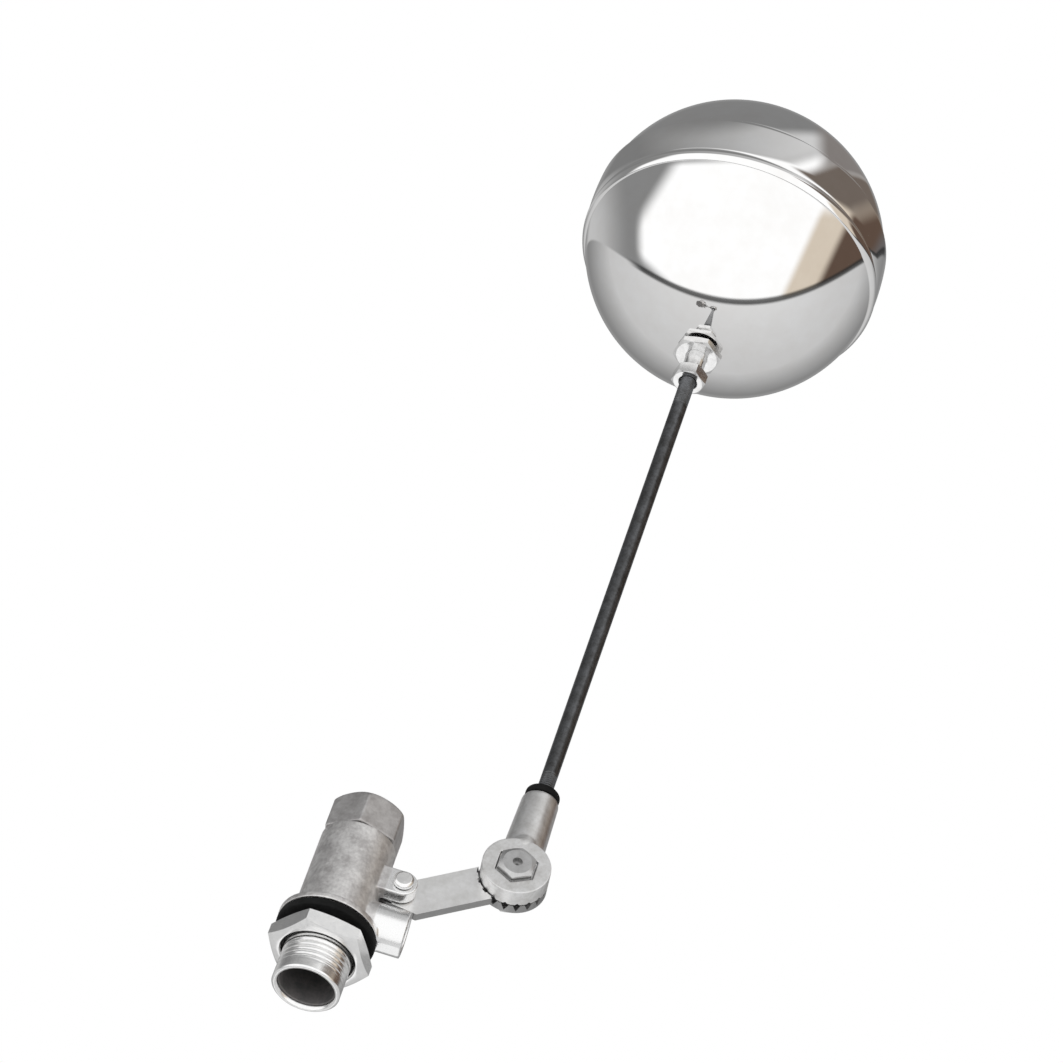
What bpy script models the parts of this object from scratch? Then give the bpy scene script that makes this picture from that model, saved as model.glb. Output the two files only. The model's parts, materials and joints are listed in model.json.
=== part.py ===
"""Adjustable stainless float valve with a ball float on a threaded rod.

The valve sits as it is used: +X runs from the tank wall along the valve body into the tank, the
outlet points down along -Z, and the origin is on the inlet axis in the flange's sealing face.
Lengths are given in millimetres and are turned into metres when a mesh is made.
"""

import math

import bmesh
import bpy
from mathutils import Matrix, Vector

MM = 0.001
GAP = 0.3                                # clearance between pieces that touch

# Inlet and body, all turned about the X axis
NIPPLE_RADIUS = 20.955 / 2               # G1/2 parallel thread, over its crests
NIPPLE_LENGTH = 23.1
MOUTH_RADIUS = 9.1                       # of the countersink at the inlet's open end
MOUTH_DEPTH = 2.0
NIPPLE_BORE_RADIUS = 8.5
FLANGE_RADIUS = 15.4
FLANGE_THICKNESS = 2.0
BARREL_RADIUS = 11.7
BARREL_END = 34.0
CHAMBER_RADIUS = 8.7
SHOULDER_RADIUS = 6.2
SHOULDER_START = -0.2
SHOULDER_END = 1.0

# Outlet spout, turned about a vertical axis
SPOUT_X = 6.9
SPOUT_MOUTH_Z = -22.4
SPOUT_MOUTH_RADIUS = 7.1
SPOUT_ROOT_RADIUS = 7.4
SPOUT_BORE_RADIUS = 5.3

# Gasket, nut and cap
GASKET_RADIUS = 15.3
GASKET_THICKNESS = 2.5
NUT_BACK_X = -5.1                        # screwed on, not drawn up to the gasket
NUT_FLATS = 28.0
NUT_THICKNESS = 5.6
NUT_CHAMFER = 1.5
NUT_MOUTH_RADIUS = 11.9                  # of the countersink in the nut's front face
NUT_TURN = math.radians(40)
CAP_FLATS = 21.5
CAP_LENGTH = 13.0
CAP_EDGE_RADIUS = 4.6
CAP_TURN = math.radians(54)
CAP_SPIGOT = 1.6

# Seat and piston
SEAT_BORE_RADIUS = 3.2
SEAT_LIP_X = 1.5
SEAT_BACK_X = -5.0
PISTON_RADIUS = CHAMBER_RADIUS - GAP
PISTON_FRONT_X = 12.5
PISTON_REAR_X = 30.6
WASHER_FRONT_X = 9.0
WASHER_RADIUS = 6.6
WASHER_NOSE_RADIUS = 5.3

# Lever: pivot, tongue into the piston, arm down to the knuckle
PIVOT = (20.7, -16.9)                    # X and Z
PIN_RADIUS = 1.6
EAR_RADIUS = 4.4
EAR_INNER_Y = 1.9
EAR_OUTER_Y = 6.5
LEVER_SLOT_X = (15.2, 25.2)
PIN_END_Y = 10.4
COTTER_Y = 8.6
COTTER_RADIUS = 0.55
LEVER_HALF_THICKNESS = 1.5
TONGUE_LENGTH = 16.5
TONGUE_LEAN = math.radians(9)
TONGUE_HALF_WIDTH = 2.4
KNUCKLE = (39.3, -47.1)                  # X and Z
ARM_HALF_WIDTH = 6.1
ARM_SLOPE = math.radians(36)             # from straight down, towards +X
HEEL_X = 14.5
HEEL_TOP = (15.7, -15.3)

# Knuckle: holder disc on the -Y side, lever disc on the +Y side
DISC_RADIUS = 10.5
HOLDER_DISC_FRONT_Y = -6.85
DISC_SPLIT_Y = -0.6
LEVER_DISC_BACK_Y = 2.9
SERRATIONS = 18
SERRATION_WIDTH = 2.2
SERRATION_DEPTH = 1.8
BOLT_RADIUS = 3.0
BOLT_HEAD_FLATS = 10.6
BOLT_HEAD_FRONT_Y = -8.7
HEAD_POCKET_FLATS = 11.8
HEAD_POCKET_FLOOR_Y = -5.85
BOLT_END_Y = 11.0
FLAT_WASHER = 1.0
SPRING_WASHER = 1.2
SMALL_NUT = 4.0

# Rod holder socket and rod, parallel to the body axis through the knuckle
SOCKET_RADIUS = 6.4
SOCKET_END_RADIUS = 5.8                  # the socket tapers a little towards its free end
SOCKET_END_ROUND = 1.6
SOCKET_ROOT_X = 42.0
SOCKET_FREE_X = 50.4
SOCKET_END_X = 71.5
SOCKET_FLOOR_X = 53.0
RING_RADIUS = 5.4
RING_THICKNESS = 2.4
ROD_RADIUS = 2.5
ROD_START_X = 54.0
ROD_END_X = 274.0

# Float
FLOAT_X = 322.3
FLOAT_RADIUS = 49.4
SHELL_WALL = 0.8
BELT_HALF_WIDTH = 9.2
BELT_EDGE_RADIUS = 49.35                 # the belt is gently domed
BELT_MIDDLE_RADIUS = 49.8
BELT_INNER_RADIUS = 48.7
LAP_RADIUS = BELT_INNER_RADIUS - GAP
FLOAT_NUT_START_X = 257.6
FLOAT_NUT_END_X = 262.0
SMALL_NUT_FLATS = 10.0
NECK_RADIUS = 3.5
BOSS_FLATS = 14.0
BOSS_FRONT_X = 269.5
BOSS_BACK_X = 272.1
BOSS_SPIGOT_RADIUS = 4.6
BOSS_END_X = 281.0

ROUND = 40                               # sides of a large round piece
SMALL_ROUND = 24                         # sides of a small round piece

ALONG_X = Matrix(((0, 0, 1), (1, 0, 0), (0, 1, 0))).to_4x4()      # local Z to world X
ALONG_Y = Matrix(((1, 0, 0), (0, 0, 1), (0, -1, 0))).to_4x4()     # local Z to world Y
ALONG_Z = Matrix.Identity(4)

STEEL = {"roughness": 0.3, "metallic": 1.0}
MATERIALS = {
    "cast_stainless": {"color": (0.62, 0.61, 0.60), "roughness": 0.42, "metallic": 1.0},
    "turned_stainless": {"color": (0.74, 0.73, 0.72), **STEEL},
    "pressed_stainless": {"color": (0.70, 0.70, 0.69), "roughness": 0.35, "metallic": 1.0},
    "mirror_stainless": {"color": (0.80, 0.80, 0.79), "roughness": 0.06, "metallic": 1.0},
    "dark_rod_steel": {"color": (0.32, 0.32, 0.32), "roughness": 0.38, "metallic": 1.0},
    "black_rubber": {"color": (0.015, 0.015, 0.015), "roughness": 0.75, "metallic": 0.0},
    "seal_rubber": {"color": (0.05, 0.05, 0.05), "roughness": 0.8, "metallic": 0.0},
}


def clear_scene():
    for thing in list(bpy.data.objects):
        bpy.data.objects.remove(thing, do_unlink=True)


def material(name):
    made = bpy.data.materials.get(name)
    if made is None:
        look = MATERIALS[name]
        made = bpy.data.materials.new(name)
        made.use_nodes = True
        shader = made.node_tree.nodes["Principled BSDF"]
        shader.inputs["Base Color"].default_value = (*look["color"], 1.0)
        shader.inputs["Roughness"].default_value = look["roughness"]
        shader.inputs["Metallic"].default_value = look["metallic"]
    return made


# Meshes: every shape below is a bmesh in world millimetres ------------------------------------


def lathe(profile, frame=ALONG_X, centre=(0, 0, 0), sides=ROUND):
    """Turn a closed outline of (along, radius) points about the local Z axis of the frame."""
    mesh = bmesh.new()
    points = [mesh.verts.new((radius, 0, along)) for along, radius in profile]
    edges = [mesh.edges.new((a, b)) for a, b in zip(points, points[1:] + points[:1])]
    bmesh.ops.spin(
        mesh, geom=points + edges, cent=(0, 0, 0), axis=(0, 0, 1), angle=math.tau,
        steps=sides, use_merge=True,
    )
    bmesh.ops.remove_doubles(mesh, verts=mesh.verts, dist=1e-5)
    flat = [face for face in mesh.faces if face.calc_area() < 1e-7]
    bmesh.ops.delete(mesh, geom=flat, context="FACES_ONLY")
    loose = [edge for edge in mesh.edges if not edge.link_faces]
    bmesh.ops.delete(mesh, geom=loose, context="EDGES")
    bmesh.ops.recalc_face_normals(mesh, faces=mesh.faces)
    bmesh.ops.transform(mesh, matrix=Matrix.Translation(centre) @ frame, verts=mesh.verts)
    return mesh


def prism(outline, low, high, frame=ALONG_X, centre=(0, 0, 0)):
    """Extrude a closed outline of local (x, y) points along the local Z axis of the frame."""
    mesh = bmesh.new()
    base = mesh.faces.new([mesh.verts.new((x, y, low)) for x, y in outline])
    lifted = bmesh.ops.extrude_face_region(mesh, geom=[base])["geom"]
    top = [item for item in lifted if isinstance(item, bmesh.types.BMVert)]
    bmesh.ops.translate(mesh, vec=(0, 0, high - low), verts=top)
    bmesh.ops.recalc_face_normals(mesh, faces=mesh.faces)
    bmesh.ops.transform(mesh, matrix=Matrix.Translation(centre) @ frame, verts=mesh.verts)
    return mesh


def box(x_range, y_range, z_range):
    (x0, x1), (z0, z1) = x_range, z_range
    return side_plate([(x0, z0), (x1, z0), (x1, z1), (x0, z1)], *y_range)


def side_plate(outline, low_y, high_y):
    """Extrude an outline of world (X, Z) points between two values of Y."""
    return prism([(x, -z) for x, z in outline], low_y, high_y, ALONG_Y)


def rod(radius, low, high, frame=ALONG_X, centre=(0, 0, 0), sides=SMALL_ROUND, chamfer=0.0):
    outline = [(low, 0), (low, radius - chamfer), (low + chamfer, radius)]
    outline += [(high - chamfer, radius), (high, radius - chamfer), (high, 0)]
    return lathe(without_repeats(outline), frame, centre, sides)


def without_repeats(points):
    return [point for k, point in enumerate(points) if point != points[k - 1]]


def arc(centre, radius, start, end, steps):
    angles = [start + (end - start) * k / steps for k in range(steps + 1)]
    return [(centre[0] + radius * math.cos(a), centre[1] + radius * math.sin(a)) for a in angles]


def hexagon(flats, turn=0.0):
    return arc((0, 0), flats / math.sqrt(3), turn, turn + math.tau * 5 / 6, 5)


def direction(angle_from_down):
    """Unit vector in X and Z, turned from straight down towards +X."""
    return Vector((math.sin(angle_from_down), -math.cos(angle_from_down)))


# Objects --------------------------------------------------------------------------------------


def place(name, mesh, finish=None, origin=(0, 0, 0)):
    """Make an object from a mesh in millimetres, with its own origin at a point in millimetres."""
    start = Vector(origin)
    bmesh.ops.translate(mesh, vec=-start, verts=mesh.verts)
    bmesh.ops.scale(mesh, vec=(MM, MM, MM), verts=mesh.verts)
    data = bpy.data.meshes.new(name)
    mesh.to_mesh(data)
    mesh.free()
    data.shade_smooth()
    data.set_sharp_from_angle(angle=math.radians(32))
    thing = bpy.data.objects.new(name, data)
    thing.location = start * MM
    bpy.context.scene.collection.objects.link(thing)
    if finish:
        data.materials.append(material(finish))
    return thing


def combine(thing, operation, name, mesh):
    """Add or cut a shape with an exact Boolean whose second object stays as a hidden guide."""
    guide = place(f"{thing.name}_{name}", mesh)
    guide.display_type = "WIRE"
    guide.hide_render = True
    step = thing.modifiers.new(name, "BOOLEAN")
    step.operation = operation
    step.solver = "EXACT"
    step.object = guide


def cut(thing, name, mesh):
    combine(thing, "DIFFERENCE", name, mesh)


def add(thing, name, mesh):
    combine(thing, "UNION", name, mesh)


# Fixed pieces ---------------------------------------------------------------------------------


def make_valve_body():
    outline = [
        (-NIPPLE_LENGTH, MOUTH_RADIUS), (-NIPPLE_LENGTH, NIPPLE_RADIUS - 0.5),
        (-NIPPLE_LENGTH + 0.5, NIPPLE_RADIUS), (0, NIPPLE_RADIUS), (0, FLANGE_RADIUS),
        (FLANGE_THICKNESS, FLANGE_RADIUS), (FLANGE_THICKNESS, BARREL_RADIUS + 1.4),
        (FLANGE_THICKNESS + 1.4, BARREL_RADIUS), (BARREL_END, BARREL_RADIUS),
        (BARREL_END, CHAMBER_RADIUS), (SHOULDER_END, CHAMBER_RADIUS),
        (SHOULDER_END, SHOULDER_RADIUS), (SHOULDER_START, SHOULDER_RADIUS),
        (SHOULDER_START, NIPPLE_BORE_RADIUS), (-NIPPLE_LENGTH + MOUTH_DEPTH, NIPPLE_BORE_RADIUS),
    ]
    body = place("valve_body", lathe(outline), "cast_stainless")
    spout_top = -CHAMBER_RADIUS - 0.4
    spout = [
        (SPOUT_MOUTH_Z, 0), (SPOUT_MOUTH_Z, SPOUT_MOUTH_RADIUS - 0.4),
        (SPOUT_MOUTH_Z + 0.4, SPOUT_MOUTH_RADIUS), (-BARREL_RADIUS, SPOUT_ROOT_RADIUS),
        (spout_top, SPOUT_ROOT_RADIUS), (spout_top, 0),
    ]
    add(body, "spout", lathe(spout, ALONG_Z, (SPOUT_X, 0, 0), 32))
    for side, name in ((-1, "near_ear"), (1, "far_ear")):
        add(body, name, ear(side))
    cut(body, "flange_face", box((-4, 0), (-12, 12), (-30, -NIPPLE_RADIUS - 0.1)))
    spout_bore = rod(SPOUT_BORE_RADIUS, SPOUT_MOUTH_Z - 1, -6, ALONG_Z, (SPOUT_X, 0, 0))
    cut(body, "spout_bore", spout_bore)
    slot_y = (-EAR_INNER_Y, EAR_INNER_Y)
    cut(body, "lever_slot", box(LEVER_SLOT_X, slot_y, (-13.5, -3)))
    cut(body, "pin_hole", rod(PIN_RADIUS + GAP, -9, 9, ALONG_Y, (PIVOT[0], 0, PIVOT[1])))


def ear(side):
    x, z = PIVOT
    outline = arc((x, z), EAR_RADIUS, math.pi, math.tau, 12)
    outline += [(x + EAR_RADIUS, -9.8), (x - EAR_RADIUS, -9.8)]
    low, high = sorted((side * EAR_INNER_Y, side * EAR_OUTER_Y))
    return side_plate(outline, low, high)


def make_seat_nozzle():
    outline = [
        (SEAT_BACK_X, SEAT_BORE_RADIUS + 0.6), (SEAT_BACK_X, NIPPLE_BORE_RADIUS - GAP),
        (SHOULDER_START - GAP, NIPPLE_BORE_RADIUS - GAP),
        (SHOULDER_START - GAP, SHOULDER_RADIUS - GAP), (SHOULDER_END, SHOULDER_RADIUS - GAP),
        (SHOULDER_END, SEAT_BORE_RADIUS + 1.2), (SEAT_LIP_X, SEAT_BORE_RADIUS + 0.7),
        (SEAT_LIP_X, SEAT_BORE_RADIUS), (SEAT_BACK_X + 0.6, SEAT_BORE_RADIUS),
    ]
    place("seat_nozzle", lathe(outline, sides=SMALL_ROUND), "turned_stainless")


def make_flange_gasket():
    front, back = -GAP - GASKET_THICKNESS, -GAP
    hole = NIPPLE_RADIUS + GAP
    outline = [(front, hole), (front, GASKET_RADIUS), (back, GASKET_RADIUS), (back, hole)]
    place("flange_gasket", lathe(outline), "black_rubber")


def make_lock_nut():
    front = NUT_BACK_X - NUT_THICKNESS
    nut = prism(hexagon(NUT_FLATS, NUT_TURN), front, NUT_BACK_X)
    nut = place("lock_nut", nut, "turned_stainless", (front, 0, 0))
    corner = NUT_FLATS / math.sqrt(3) + 0.4
    cone = [
        (front - 1, 0), (front - 1, NUT_FLATS / 2 - 2.6), (front + NUT_CHAMFER, corner),
        (NUT_BACK_X - NUT_CHAMFER / 2, corner), (NUT_BACK_X, NUT_FLATS / 2), (NUT_BACK_X + 1, 0),
    ]
    combine(nut, "INTERSECT", "corner_chamfer", lathe(cone))
    hole = NIPPLE_RADIUS + GAP
    bore = [
        (front - 1, 0), (front - 1, NUT_MOUTH_RADIUS + 0.8), (front + 1.2, hole),
        (NUT_BACK_X + 2, hole), (NUT_BACK_X + 2, 0),
    ]
    cut(nut, "thread_hole", lathe(bore))


def make_end_cap():
    start = BARREL_END + GAP
    end = start + CAP_LENGTH
    cap = place("end_cap", prism(hexagon(CAP_FLATS, CAP_TURN), start, end), "cast_stainless")
    corner = CAP_FLATS / math.sqrt(3)
    dome = [(start - 1, 0), (start - 1, corner + 0.4), (start, corner + 0.4)]
    dome += arc((end - CAP_EDGE_RADIUS, corner + 0.4 - CAP_EDGE_RADIUS), CAP_EDGE_RADIUS,
                math.pi / 2, 0, 5)
    dome += [(end, 0)]
    combine(cap, "INTERSECT", "rounded_end", lathe(dome))
    add(cap, "spigot", rod(CHAMBER_RADIUS - GAP, start - GAP - CAP_SPIGOT, start + 1, sides=ROUND))


def make_pivot_pin():
    centre = (PIVOT[0], 0, PIVOT[1])
    head_back = -EAR_OUTER_Y - GAP
    outline = [
        (head_back - 0.9, 0), (head_back - 0.9, 1.7), (head_back - 0.4, 2.5), (head_back, 2.5),
        (head_back, PIN_RADIUS), (PIN_END_Y - 0.4, PIN_RADIUS), (PIN_END_Y, PIN_RADIUS - 0.4),
        (PIN_END_Y, 0),
    ]
    pin = place("pivot_pin", lathe(outline, ALONG_Y, centre, 20), "turned_stainless", centre)
    hole = rod(COTTER_RADIUS + 0.25, -4, 4, ALONG_Z, (PIVOT[0], COTTER_Y, PIVOT[1]), 12)
    cut(pin, "cotter_hole", hole)


def make_pivot_cotter():
    """A split pin: a straight shank through the pin, a round eye and two spread tails."""
    x, z = PIVOT
    eye = arc((x, z + 3.6), 1.2, -math.pi / 2, math.pi * 1.35, 12)
    route = [(x - 1.5, z - 4.4), (x - 0.5, z - 2.9), (x, z - 2.2), (x, z + 1.6)] + eye
    path = [Vector((px, COTTER_Y, pz)) for px, pz in route]
    place("pivot_cotter", tube(path, COTTER_RADIUS, 8), "turned_stainless", (x, COTTER_Y, z))


def tube(path, radius, sides):
    """Sweep a circle along a path that stays in a plane of constant Y, with both ends capped."""
    mesh = bmesh.new()
    rings = []
    for k, point in enumerate(path):
        ahead = (path[min(k + 1, len(path) - 1)] - path[max(k - 1, 0)]).normalized()
        across = ahead.cross(Vector((0, 1, 0))).normalized()
        turn = [math.tau * j / sides for j in range(sides)]
        rings.append([
            mesh.verts.new(point + radius * (across * math.cos(a) + Vector((0, math.sin(a), 0))))
            for a in turn
        ])
    for low, high in zip(rings, rings[1:]):
        for j in range(sides):
            k = (j + 1) % sides
            mesh.faces.new((low[j], low[k], high[k], high[j]))
    mesh.faces.new(rings[0])
    mesh.faces.new(rings[-1])
    bmesh.ops.recalc_face_normals(mesh, faces=mesh.faces)
    return mesh


# Piston, which slides in the chamber ----------------------------------------------------------


def make_piston():
    front, spigot_end = PISTON_FRONT_X, PISTON_FRONT_X + 2.8
    outline = [
        (front, 0), (front, WASHER_RADIUS), (spigot_end, WASHER_RADIUS),
        (spigot_end, PISTON_RADIUS), (PISTON_REAR_X - 0.6, PISTON_RADIUS),
        (PISTON_REAR_X, PISTON_RADIUS - 0.6), (PISTON_REAR_X, 0),
    ]
    piston = place("piston", lathe(outline, sides=32), "turned_stainless", (front, 0, 0))
    tip_x = tongue_tip()[0]
    slot = [(-2.8, 3.0), (2.8, 3.0), (2.8, 0.0), (5.4, -9.0), (-4.4, -9.0), (-2.8, 0.0)]
    cut(piston, "lever_slot", side_plate([(tip_x + dx, z) for dx, z in slot], -2.0, 2.0))


def make_piston_washer():
    front, step, back = WASHER_FRONT_X, WASHER_FRONT_X + 1.7, PISTON_FRONT_X - GAP
    outline = [
        (front, 0), (front, WASHER_NOSE_RADIUS - 0.3), (front + 0.3, WASHER_NOSE_RADIUS),
        (step, WASHER_NOSE_RADIUS), (step, WASHER_RADIUS), (back, WASHER_RADIUS), (back, 0),
    ]
    place("piston_washer", lathe(outline, sides=SMALL_ROUND), "seal_rubber", (front, 0, 0))


def make_washer_retainer():
    lip_front = WASHER_FRONT_X + 0.6
    lip_back = WASHER_FRONT_X + 1.7 - GAP
    skirt_end = PISTON_FRONT_X + 2.8 - GAP
    outline = [
        (lip_front, WASHER_NOSE_RADIUS + GAP), (lip_front, PISTON_RADIUS - 0.5),
        (lip_front + 0.5, PISTON_RADIUS), (skirt_end, PISTON_RADIUS),
        (skirt_end, WASHER_RADIUS + GAP), (lip_back, WASHER_RADIUS + GAP),
        (lip_back, WASHER_NOSE_RADIUS + GAP),
    ]
    place("washer_retainer", lathe(outline, sides=32), "turned_stainless", (lip_front, 0, 0))


# Lever, which swings on the pivot pin ---------------------------------------------------------


def tongue_tip():
    return (PIVOT[0] + TONGUE_LENGTH * math.sin(TONGUE_LEAN),
            PIVOT[1] + TONGUE_LENGTH * math.cos(TONGUE_LEAN))


def lever_outline():
    """The tongue, the pivot region, the straight heel and the sloping arm, as one outline."""
    pivot, knuckle, tip = Vector(PIVOT), Vector(KNUCKLE), Vector(tongue_tip())
    down_arm = direction(ARM_SLOPE)
    out = Vector((-down_arm.y, down_arm.x))
    lower_end = knuckle - ARM_HALF_WIDTH * out
    upper_end = knuckle + ARM_HALF_WIDTH * out
    heel_z = lower_end.y + (HEEL_X - lower_end.x) * down_arm.y / down_arm.x
    up_tongue = (tip - pivot).normalized()
    right = Vector((up_tongue.y, -up_tongue.x))
    side = pivot + TONGUE_HALF_WIDTH * right
    gap = upper_end - side
    reach = gap.cross(down_arm) / up_tongue.cross(down_arm)
    corner = side + reach * up_tongue
    start = math.atan2(right.y, right.x)
    rounded_tip = arc(tip, TONGUE_HALF_WIDTH, start, start + math.pi, 8)
    left_foot = pivot - TONGUE_HALF_WIDTH * right + 1.6 * up_tongue
    points = [(HEEL_X, heel_z), tuple(lower_end), tuple(upper_end), tuple(corner)]
    return points + rounded_tip + [tuple(left_foot), HEEL_TOP]


def make_lever_arm():
    thickness = LEVER_HALF_THICKNESS
    pivot = (PIVOT[0], 0, PIVOT[1])
    lever = place("lever_arm", side_plate(lever_outline(), -thickness, thickness),
                  "pressed_stainless", pivot)
    centre = (KNUCKLE[0], 0, KNUCKLE[1])
    front = DISC_SPLIT_Y + GAP / 2
    cut(lever, "disc_seat", rod(DISC_RADIUS + 0.4, -4, front + 0.4, ALONG_Y, centre, ROUND))
    disc = rod(DISC_RADIUS, front, LEVER_DISC_BACK_Y, ALONG_Y, centre, ROUND)
    add(lever, "disc", disc)
    cut(lever, "serrations", serrations(front))
    cut(lever, "bolt_hole", rod(BOLT_RADIUS + GAP, -5, 5, ALONG_Y, centre))
    cut(lever, "pin_hole", rod(PIN_RADIUS + GAP, -5, 5, ALONG_Y, pivot))


def serrations(face_y):
    """Radial V grooves around the knuckle axis, deepest at the rim, centred on one face."""
    x, z = KNUCKLE
    mesh = bmesh.new()
    for k in range(SERRATIONS):
        angle = math.tau * k / SERRATIONS
        outward = Vector((math.cos(angle), 0, math.sin(angle)))
        across = Vector((-math.sin(angle), 0, math.cos(angle)))
        ends = []
        for radius, share in ((5.4, 0.2), (DISC_RADIUS + 0.8, 1.0)):
            base = Vector((x, face_y, z)) + radius * outward
            half, deep = share * SERRATION_WIDTH / 2, share * SERRATION_DEPTH
            corners = (half * across, Vector((0, deep, 0)), -half * across, Vector((0, -deep, 0)))
            ends.append([mesh.verts.new(base + corner) for corner in corners])
        for j in range(4):
            i = (j + 1) % 4
            mesh.faces.new((ends[0][j], ends[0][i], ends[1][i], ends[1][j]))
        mesh.faces.new(ends[0])
        mesh.faces.new(ends[1])
    bmesh.ops.recalc_face_normals(mesh, faces=mesh.faces)
    return mesh


# Rod holder and its bolt, which turn at the knuckle -------------------------------------------


def make_rod_holder():
    centre = (KNUCKLE[0], 0, KNUCKLE[1])
    axis = (0, 0, KNUCKLE[1])
    back = DISC_SPLIT_Y - GAP / 2
    socket = [(SOCKET_ROOT_X, 0), (SOCKET_ROOT_X, SOCKET_RADIUS), (SOCKET_FREE_X, SOCKET_RADIUS)]
    socket += arc((SOCKET_END_X - SOCKET_END_ROUND, SOCKET_END_RADIUS - SOCKET_END_ROUND),
                  SOCKET_END_ROUND, math.pi / 2, 0, 4)
    socket += [(SOCKET_END_X, 0)]
    socket = lathe(socket, centre=axis, sides=32)
    holder = place("rod_holder", socket, "cast_stainless", centre)
    room = box((SOCKET_ROOT_X - 1, SOCKET_FREE_X), (back - 1.5, 8), (-60, -30))
    cut(holder, "lever_disc_room", room)
    disc = [
        (HOLDER_DISC_FRONT_Y, 0), (HOLDER_DISC_FRONT_Y, DISC_RADIUS - 0.7),
        (HOLDER_DISC_FRONT_Y + 0.7, DISC_RADIUS), (back, DISC_RADIUS), (back, 0),
    ]
    add(holder, "disc", lathe(disc, ALONG_Y, centre))
    cut(holder, "serrations", serrations(back))
    pocket = prism(hexagon(HEAD_POCKET_FLATS), HOLDER_DISC_FRONT_Y - 1, HEAD_POCKET_FLOOR_Y,
                   ALONG_Y, centre)
    cut(holder, "head_pocket", pocket)
    cut(holder, "bolt_hole", rod(BOLT_RADIUS + GAP, -8, 2, ALONG_Y, centre))
    cut(holder, "rod_hole", rod(ROD_RADIUS + GAP, SOCKET_FLOOR_X, SOCKET_END_X + 1, centre=axis))


def make_knuckle_bolt():
    centre = (KNUCKLE[0], 0, KNUCKLE[1])
    under_head = HEAD_POCKET_FLOOR_Y - GAP
    head = prism(hexagon(BOLT_HEAD_FLATS), BOLT_HEAD_FRONT_Y, under_head, ALONG_Y, centre)
    bolt = place("knuckle_bolt", head, "turned_stainless", centre)
    flats, corner = BOLT_HEAD_FLATS / 2, BOLT_HEAD_FLATS / math.sqrt(3)
    cone = [(BOLT_HEAD_FRONT_Y, 0), (BOLT_HEAD_FRONT_Y, flats - 0.9),
            (BOLT_HEAD_FRONT_Y + 1.1, corner + 0.3), (under_head + 1, corner + 0.3),
            (under_head + 1, 0)]
    combine(bolt, "INTERSECT", "corner_chamfer", lathe(cone, ALONG_Y, centre))
    add(bolt, "shank", rod(BOLT_RADIUS, under_head - 1, BOLT_END_Y, ALONG_Y, centre, chamfer=0.5))
    dimple = [(BOLT_HEAD_FRONT_Y - 0.5, 0), (BOLT_HEAD_FRONT_Y - 0.5, 2.2),
              (BOLT_HEAD_FRONT_Y + 1.0, 0.8), (BOLT_HEAD_FRONT_Y + 1.0, 0)]
    cut(bolt, "dimple", lathe(dimple, ALONG_Y, centre, SMALL_ROUND))


def make_knuckle_stack():
    """Flat washer, split spring washer and nut, in a row behind the lever's disc."""
    centre = (KNUCKLE[0], 0, KNUCKLE[1])
    flat_y = LEVER_DISC_BACK_Y + GAP
    spring_y = flat_y + FLAT_WASHER + GAP
    nut_y = spring_y + SPRING_WASHER + GAP
    hole = BOLT_RADIUS + GAP
    place("knuckle_flat_washer", washer(flat_y, FLAT_WASHER, hole, 6.2, centre),
          "turned_stainless", centre)
    spring = place("knuckle_spring_washer", washer(spring_y, SPRING_WASHER, hole, 5.2, centre),
                   "turned_stainless", centre)
    x, z = KNUCKLE
    cut(spring, "split", box((x - 0.5, x + 0.5), (spring_y - 1, spring_y + 3), (z, z + 8)))
    nut = prism(hexagon(SMALL_NUT_FLATS, math.radians(12)), nut_y, nut_y + SMALL_NUT, ALONG_Y,
                centre)
    nut = place("knuckle_nut", nut, "turned_stainless", centre)
    cut(nut, "thread_hole", rod(hole, nut_y - 1, nut_y + SMALL_NUT + 1, ALONG_Y, centre))


def washer(low, thickness, hole, radius, centre):
    high = low + thickness
    outline = [(low, hole), (low, radius), (high, radius), (high, hole)]
    return lathe(outline, ALONG_Y, centre, SMALL_ROUND)


def make_holder_ring():
    start = SOCKET_END_X + GAP
    end = start + RING_THICKNESS
    hole = ROD_RADIUS + GAP
    outline = [(start, hole), (start, RING_RADIUS), (end - 0.8, RING_RADIUS),
               (end, RING_RADIUS - 0.8), (end, hole)]
    axis = (0, 0, KNUCKLE[1])
    ring = lathe(outline, centre=axis, sides=SMALL_ROUND)
    place("holder_ring", ring, "black_rubber", (start, 0, KNUCKLE[1]))


# Float and rod --------------------------------------------------------------------------------


def make_float_rod():
    axis = (0, 0, KNUCKLE[1])
    mesh = rod(ROD_RADIUS, ROD_START_X, ROD_END_X, centre=axis, sides=20, chamfer=0.5)
    place("float_rod", mesh, "dark_rod_steel", (ROD_START_X, 0, KNUCKLE[1]))


def make_float_lock_nut():
    axis = (0, 0, KNUCKLE[1])
    start, end = FLOAT_NUT_START_X, FLOAT_NUT_END_X
    nut = place("float_lock_nut", prism(hexagon(SMALL_NUT_FLATS, 0.3), start, end, centre=axis),
                "turned_stainless", (start, 0, KNUCKLE[1]))
    cut(nut, "thread_hole", rod(ROD_RADIUS + GAP, start - 1, end + 1, centre=axis))


def make_float_boss():
    axis = (0, 0, KNUCKLE[1])
    start = FLOAT_NUT_END_X + GAP
    boss = place("float_boss", rod(NECK_RADIUS, start, BOSS_FRONT_X + 1, centre=axis),
                 "turned_stainless", (start, 0, KNUCKLE[1]))
    hex_part = prism(hexagon(BOSS_FLATS, 0.3), BOSS_FRONT_X, BOSS_BACK_X, centre=axis)
    add(boss, "hexagon", hex_part)
    add(boss, "spigot", rod(BOSS_SPIGOT_RADIUS, BOSS_BACK_X - 1, BOSS_END_X, centre=axis))
    cut(boss, "thread_hole", rod(ROD_RADIUS + GAP, start - 1, ROD_END_X + 1.5, centre=axis))


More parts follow.
